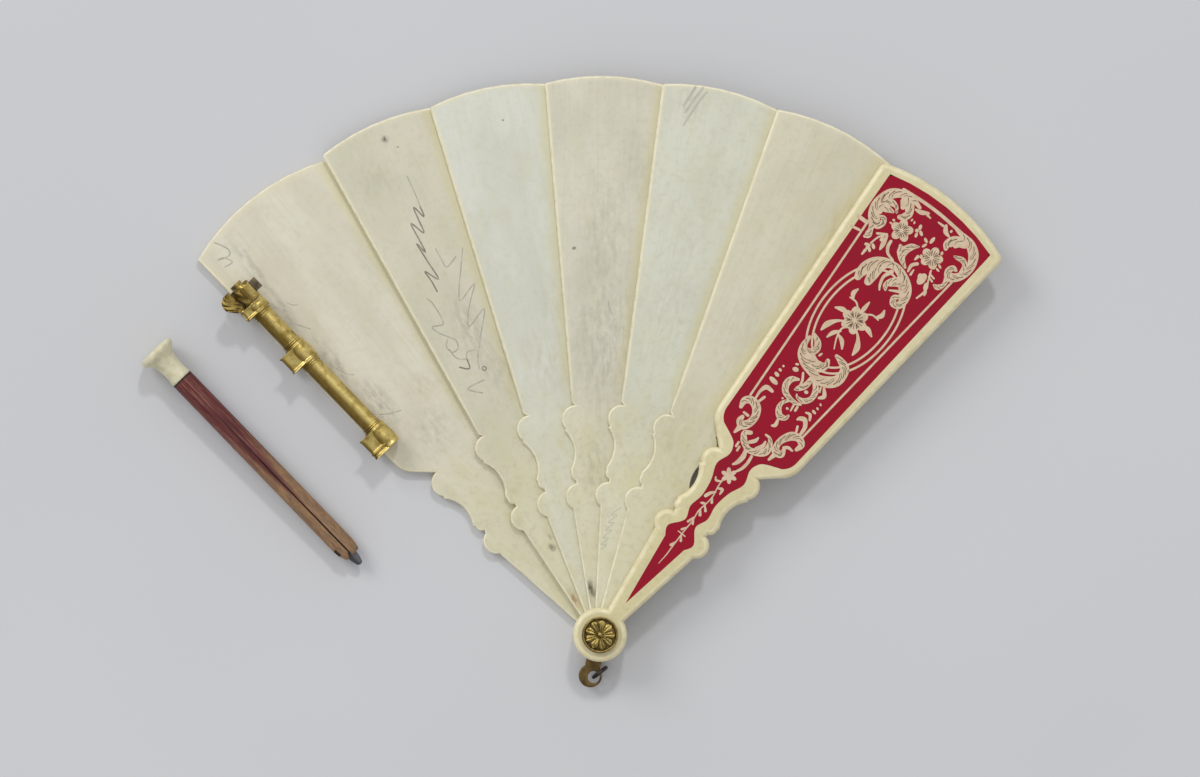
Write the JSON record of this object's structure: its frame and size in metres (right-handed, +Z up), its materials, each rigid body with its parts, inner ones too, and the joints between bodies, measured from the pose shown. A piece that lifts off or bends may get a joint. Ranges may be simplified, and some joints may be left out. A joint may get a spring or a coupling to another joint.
{
  "type": "fan-shaped aide-memoire",
  "caption": "Fan-shaped bone aide-memoire: thin writing leaves and scroll-necked guards turn on a gilt rivet, with a red lacquered cover, clasp, pencil clips and a loose pencil.",
  "frame": {"origin": "rivet axis at the underside of the rear guard, on the table", "axes": "+Z up out of the table along the rivet, +Y from the rivet up the middle of the open fan, +X towards the lacquered front guard"},
  "size_m": [0.1289, 0.0916, 0.0079],
  "materials": {
    "bone_leaf": "thin polished bone, satin, faint lengthwise grain, graphite smudges and brown specks",
    "bone_guard": "polished bone, satin, cream with yellowed edges",
    "red_lacquer": "crimson lacquer in the guard's face with ivory scroll ornament",
    "gilt_brass": "worn gilding over brass, dark in the hollows",
    "aged_brass": "dull aged brass, brown in places",
    "dark_iron": "blackened iron wire",
    "pencil_wood": "burgundy paint worn down to bare brown wood towards the tip",
    "graphite": "grey graphite, slightly shiny"
  },
  "bodies": {
    "rear": {"rear_guard": "bone_guard", "pivot_pin": "aged_brass", "rosette_cup": "gilt_brass", "pivot_rosette": "gilt_brass", "holder_rod": "gilt_brass", "upper_clip": "gilt_brass", "middle_clip": "gilt_brass", "lower_clip": "gilt_brass", "clip_rivets": "aged_brass", "journal_cap": "gilt_brass"},
    "leaf_1": {"inner_leaf_1": "bone_leaf"},
    "leaf_2": {"inner_leaf_2": "bone_leaf"},
    "leaf_3": {"inner_leaf_3": "bone_leaf"},
    "leaf_4": {"inner_leaf_4": "bone_leaf"},
    "leaf_5": {"inner_leaf_5": "bone_leaf"},
    "front": {"front_guard": "bone_guard", "lacquer_field": "red_lacquer"},
    "bail": {"hanging_bail": "aged_brass"},
    "ring": {"jump_ring": "dark_iron"},
    "clasp": {"clasp_latch": "gilt_brass"},
    "pencil": {"pencil_case_left": "pencil_wood", "pencil_case_right": "pencil_wood", "pencil_lead": "graphite", "pencil_finial": "bone_guard"}
  },
  "joints": [
    {"name": "leaf_1_turn", "type": "hinge", "parent": "rear", "child": "leaf_1", "pos_m": [0, 0, 0.00185], "axis": [0, 0, 1], "range_deg": [-60, 14.4]},
    {"name": "leaf_2_turn", "type": "hinge", "parent": "rear", "child": "leaf_2", "pos_m": [0, 0, 0.00185], "axis": [0, 0, 1], "range_deg": [-60, 26.6]},
    {"name": "leaf_3_turn", "type": "hinge", "parent": "rear", "child": "leaf_3", "pos_m": [0, 0, 0.00185], "axis": [0, 0, 1], "range_deg": [-60, 38.8]},
    {"name": "leaf_4_turn", "type": "hinge", "parent": "rear", "child": "leaf_4", "pos_m": [0, 0, 0.00185], "axis": [0, 0, 1], "range_deg": [-60, 51]},
    {"name": "leaf_5_turn", "type": "hinge", "parent": "rear", "child": "leaf_5", "pos_m": [0, 0, 0.00185], "axis": [0, 0, 1], "range_deg": [-60, 63.2]},
    {"name": "front_guard_turn", "type": "hinge", "parent": "rear", "child": "front", "pos_m": [0, 0, 0.0055], "axis": [0, 0, 1], "range_deg": [-60, 76.2]},
    {"name": "bail_swivel", "type": "hinge", "parent": "rear", "child": "bail", "pos_m": [0, 0, 0.00161], "axis": [0, 0, 1], "range_deg": [-30, 30]},
    {"name": "ring_swing", "type": "hinge", "parent": "bail", "child": "ring", "pos_m": [-0.00003, -0.00573, 0.00161], "axis": [0.7912, 0.6115, 0], "range_deg": [-28, 28]},
    {"name": "clasp_turn", "type": "hinge", "parent": "rear", "child": "clasp", "pos_m": [-0.05919, 0.05711, 0.00305], "axis": [0.6947, -0.7193, 0], "range_deg": [0, 35]},
    {"name": "pencil_lift", "type": "slide", "parent": "rear", "child": "pencil", "axis": [0, 0, 1], "range_m": [0, 0.03]}
  ]
}
